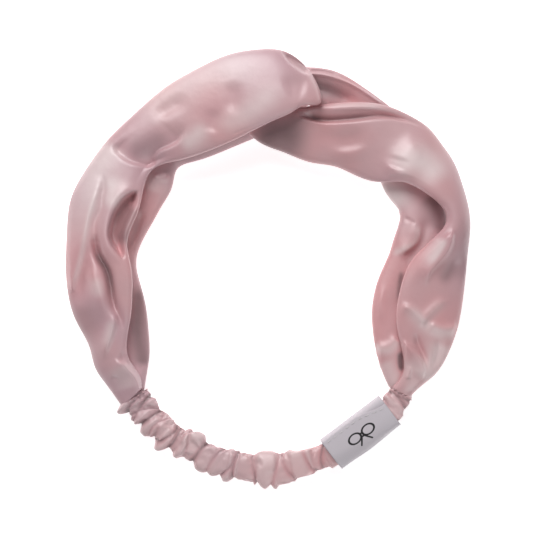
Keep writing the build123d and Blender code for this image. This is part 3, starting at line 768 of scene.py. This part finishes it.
def neck_stitches(name, angle, wide, high, count=14):
    """The stitches that hold a satin tube's end in the casing's mouth, all the way round the neck."""
    spin = np.linspace(0, 2 * math.pi, count, endpoint=False)
    here = tie_point(angle, wide * np.cos(spin), high * np.sin(spin))
    there = tie_point(angle, wide * np.cos(spin + 0.22), high * np.sin(spin + 0.22))
    middle = tie_point(np.full(count, angle), 0, 0)
    return stitches(name, here, there, unit((here + there) / 2 - middle), 0.3, THREAD)


def casing_stitches():
    """The running stitches along the casing's inner side, on the elastic's edge."""
    angle = np.arange(TIE_START + 5, TIE_END - 5, 4.4)
    here = tie_point(angle, -4.6, -0.6)
    there = tie_point(angle + 2.4, -4.6, -0.6)
    return stitches("casing_seam_thread", here, there, unit(tie_point(angle, -9, -0.6) - here), 0.3, THREAD)


def elastic_strip(around=24, along=120):
    """The woven elastic, lying flat all the way along inside the casing."""
    strip, turn, reach = cloth_grid(around, along)
    across, up = np.cos(2 * math.pi * turn), np.sin(2 * math.pi * turn)
    angle = TIE_START + 1 + (TIE_END - TIE_START - 2) * reach
    wide = 4.0 * np.sign(across) * np.abs(across) ** 0.35
    placed(strip, tie_point(angle, wide, 0.6 * np.sign(up) * np.abs(up) ** 0.6))
    return piece_from("woven_elastic", strip, ELASTIC)


def tack_stitches(name, angle):
    """The bar of stitches that holds one end of the elastic, side by side across it."""
    across = np.array([-2.7, -0.9, 0.9, 2.7])
    here, there = tie_point(angle - 0.9, across, 0.6), tie_point(angle + 0.9, across, 0.6)
    return stitches(name, here, there, np.tile([0, 0, 1.0], (len(across), 1)), 0.3, WHITE_THREAD)


for piece, body, node in (
    (neck_stitches("left_neck_thread", TIE_START + 2.6, 5.9, 4.0), "left_half", "left_join_stitching"),
    (neck_stitches("right_neck_thread", TIE_END - 2.2, 5.0, 3.9), "right_half", "right_join_stitching"),
):
    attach(piece, body)
    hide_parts(node)
casing_thread = casing_stitches()
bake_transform(casing_thread)
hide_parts("casing_seam")
for piece, node, slot in (
    (elastic_strip(), "elastic", "elastic"),
    (tack_stitches("left_tack_thread", TIE_START + 2.6), "left_elastic_tack", "thread"),
    (tack_stitches("right_tack_thread", TIE_END - 2.6), "right_elastic_tack", "thread"),
):
    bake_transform(piece)
    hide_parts(node)


# ---- the ribbon label --------------------------------------------------------------------------------
LABEL_ANGLE = math.radians(LABEL_DEGREES)
LABEL_LENGTH = 30.4
LABEL_REACH = 64.5                      # from the ring's centre to the label's middle line
LABEL_OUT = np.array([math.cos(LABEL_ANGLE), math.sin(LABEL_ANGLE), 0])
LABEL_RUN = np.array([-math.sin(LABEL_ANGLE), math.cos(LABEL_ANGLE), 0])
LABEL_MIDDLE = np.array([*TIE_CENTRE, TIE_HEIGHT]) + LABEL_REACH * LABEL_OUT


def label_point(out, up, along):
    """A point beside the label's middle: out from the ring, up, and along the casing."""
    return LABEL_MIDDLE + np.multiply.outer(out, LABEL_OUT) + np.multiply.outer(along, LABEL_RUN) \
        + np.multiply.outer(up, [0, 0, 1.0])


def free_edge(along):
    """Where the strip's free end lies on the label's upper face."""
    return -6.9 + 2.7 * eased(1.0, 15.0, along)


def label_slice(along, count):
    """The strip's way round the casing at one place along the label, as outward and upward places."""
    fold = 2.2 + 0.094 * (along + 12)
    edge = free_edge(along)
    flare = 0.3 * math.cos(along / 5.0)
    return through([(1.0, 4.5), (-4.0, 4.6), (-6.5, 4.2), (-7.3, 2.6), (-7.4, -2.6), (-6.6, -4.7),
                    (-4.6, -5.25), (4.6, -5.25), (6.7, -4.8), (7.4, -3.4), (7.5 + flare, -1.4),
                    (7.1 + flare, 0.4), (fold + 1.4, 3.9), (fold - 0.9, 5.1), (-1.6, 5.4),
                    (edge + 2.0, 5.35), (edge, 5.2)], count)


def label_sleeve(around=120, along=48):
    """The ribbon label: a strip wrapped once round the casing, its free end lapped over its start."""
    grid, wrap, reach = cloth_grid(around, along)
    runs = LABEL_LENGTH * (np.linspace(0, 1, along + 1) - 0.5)
    slices = np.stack([label_slice(run, around + 1) for run in runs])
    row, column = (reach * along).round().astype(int), (wrap * around).round().astype(int)
    out, up = slices[row, column].T
    placed(grid, label_point(out, up, runs[row]))
    mark = grid.verts.layers.float_vector.new("mark")
    for vertex, n, run, off in zip(grid.verts, wrap, runs[row], out):
        vertex[mark] = (run, 0.2 - off, 0) if n > 0.6 else (50, 50, 0)
    bmesh.ops.recalc_face_normals(grid, faces=grid.faces[:])
    piece = object_from("ribbon_label", grid, ribbon())
    ply = piece.modifiers.new("ply", "SOLIDIFY")
    ply.thickness = 0.0004
    ply.offset = 0
    return piece


def ribbon():
    """White woven ribbon with a line-drawn bow printed on it: two loops, a knot and two tails."""
    strip = Shader("white_ribbon")
    mark = strip.node("ShaderNodeAttribute", {"attribute_name": "mark"}, output="Vector")
    place = strip.node("ShaderNodeSeparateXYZ", {}, mark)
    along = place.math("ABSOLUTE")
    across = Link(strip, place.socket.node.outputs[1])

    def distance(run, rise):
        return (run.math("POWER", 2) + rise.math("POWER", 2)).math("SQRT")

    loop = (distance((along - 3.3) * 0.36, (across - 0.35) * 0.52) - 1.0).math("ABSOLUTE") * 2.2
    knot = (distance(along, across) - 0.7).math("ABSOLUTE")
    reach = ((along - 0.5) * 2.2 - (across + 0.6) * 2.9) * (1 / 13.25)
    reach = reach.math("MAXIMUM", 0.0).math("MINIMUM", 1.0)
    tail = distance(along - 0.5 - reach * 2.2, across + 0.6 + reach * 2.9)
    line = loop.math("MINIMUM", knot).math("MINIMUM", tail)
    ink = strip.node("ShaderNodeMapRange", {}, line, 0.42, 0.3)
    ribs = strip.node("ShaderNodeTexWave", {"wave_type": "BANDS", "bands_direction": "Y"},
                      strip.uv((1.0, 24.0, 1.0)), Scale=1.0, Distortion=0.3)
    picks = strip.node("ShaderNodeTexNoise", {}, strip.uv((500.0, 120.0, 1.0)), Scale=1.0, Detail=2.0)
    cloth = strip.mix(0.3 * picks, (0.68, 0.62, 0.66, 1), (0.57, 0.54, 0.59, 1))
    strip.set(Base_Color=strip.mix(ink, cloth, (0.012, 0.011, 0.013, 1)), Roughness=0.5 + 0.15 * picks)
    weave = ribs + 0.6 * picks
    strip.set(Normal=strip.node("ShaderNodeBump", {}, Strength=0.25, Distance=0.00015, Height=weave))
    strip.set(Sheen_Weight=0.2, Sheen_Roughness=0.4)
    return strip.material


def label_stitches(count=9, length=2.0):
    """The row that closes the label, through its lap and beside its free end."""
    along = np.linspace(-12.6, 12.6, count)
    here, there = (label_point(free_edge(along + half) + 1.2, 5.5, along + half)
                   for half in (-length / 2, length / 2))
    return stitches("label_thread", here, there, np.tile([0, 0, 1.0], (count, 1)), 0.22, WHITE_THREAD)


for piece, node, slot in ((label_sleeve(), "label", "label_ribbon"),
                          (label_stitches(), "label_stitching", "label_thread")):
    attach(piece, "label")
    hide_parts(node)


# ---- stage -------------------------------------------------------------------------------------------

def soft_light(name, place, aim, size, power):
    lamp = bpy.data.lights.new(name, "AREA")
    lamp.shape = "DISK"
    lamp.size = size
    lamp.energy = power
    lamp_object = bpy.data.objects.new(name, lamp)
    lamp_object.location = place
    direction = np.array(aim, float) - np.array(place, float)
    lamp_object.rotation_mode = "QUATERNION"
    lamp_object.rotation_quaternion = Vector(direction).to_track_quat("-Z", "Y")
    bpy.context.scene.collection.objects.link(lamp_object)


def stage():
    floor_mesh = bpy.data.meshes.new("floor")
    board = bmesh.new()
    bmesh.ops.create_grid(board, x_segments=1, y_segments=1, size=2.0)
    board.to_mesh(floor_mesh)
    board.free()
    floor = bpy.data.objects.new("floor", floor_mesh)
    bpy.context.scene.collection.objects.link(floor)
    paint = Shader("white_board")
    paint.set(Base_Color=(0.9, 0.9, 0.9, 1), Roughness=0.9, Specular_IOR_Level=0.1)
    paint.set(Emission_Color=(1, 1, 1, 1), Emission_Strength=0.66)
    floor_mesh.materials.append(paint.material)
    world = bpy.data.worlds.new("studio")
    bpy.context.scene.world = world
    world.use_nodes = True
    world.node_tree.nodes["Background"].inputs["Color"].default_value = (0.95, 0.96, 1.0, 1)
    world.node_tree.nodes["Background"].inputs["Strength"].default_value = 0.17
    soft_light("key", (-0.22, 0.66, 0.7), (0, 0, 0), 0.7, 7.4)
    soft_light("fill", (0.35, -0.65, 0.55), (0, 0, 0), 0.6, 1.9)
    bpy.context.scene.view_settings.view_transform = "Standard"


def camera():
    lens = bpy.data.cameras.new("camera")
    lens.lens = 100.0
    lens.clip_start = 0.01
    view = bpy.data.objects.new("camera", lens)
    view.location = (0.0, 0.0, 0.617)
    bpy.context.scene.collection.objects.link(view)
    bpy.context.scene.camera = view


stage()
camera()
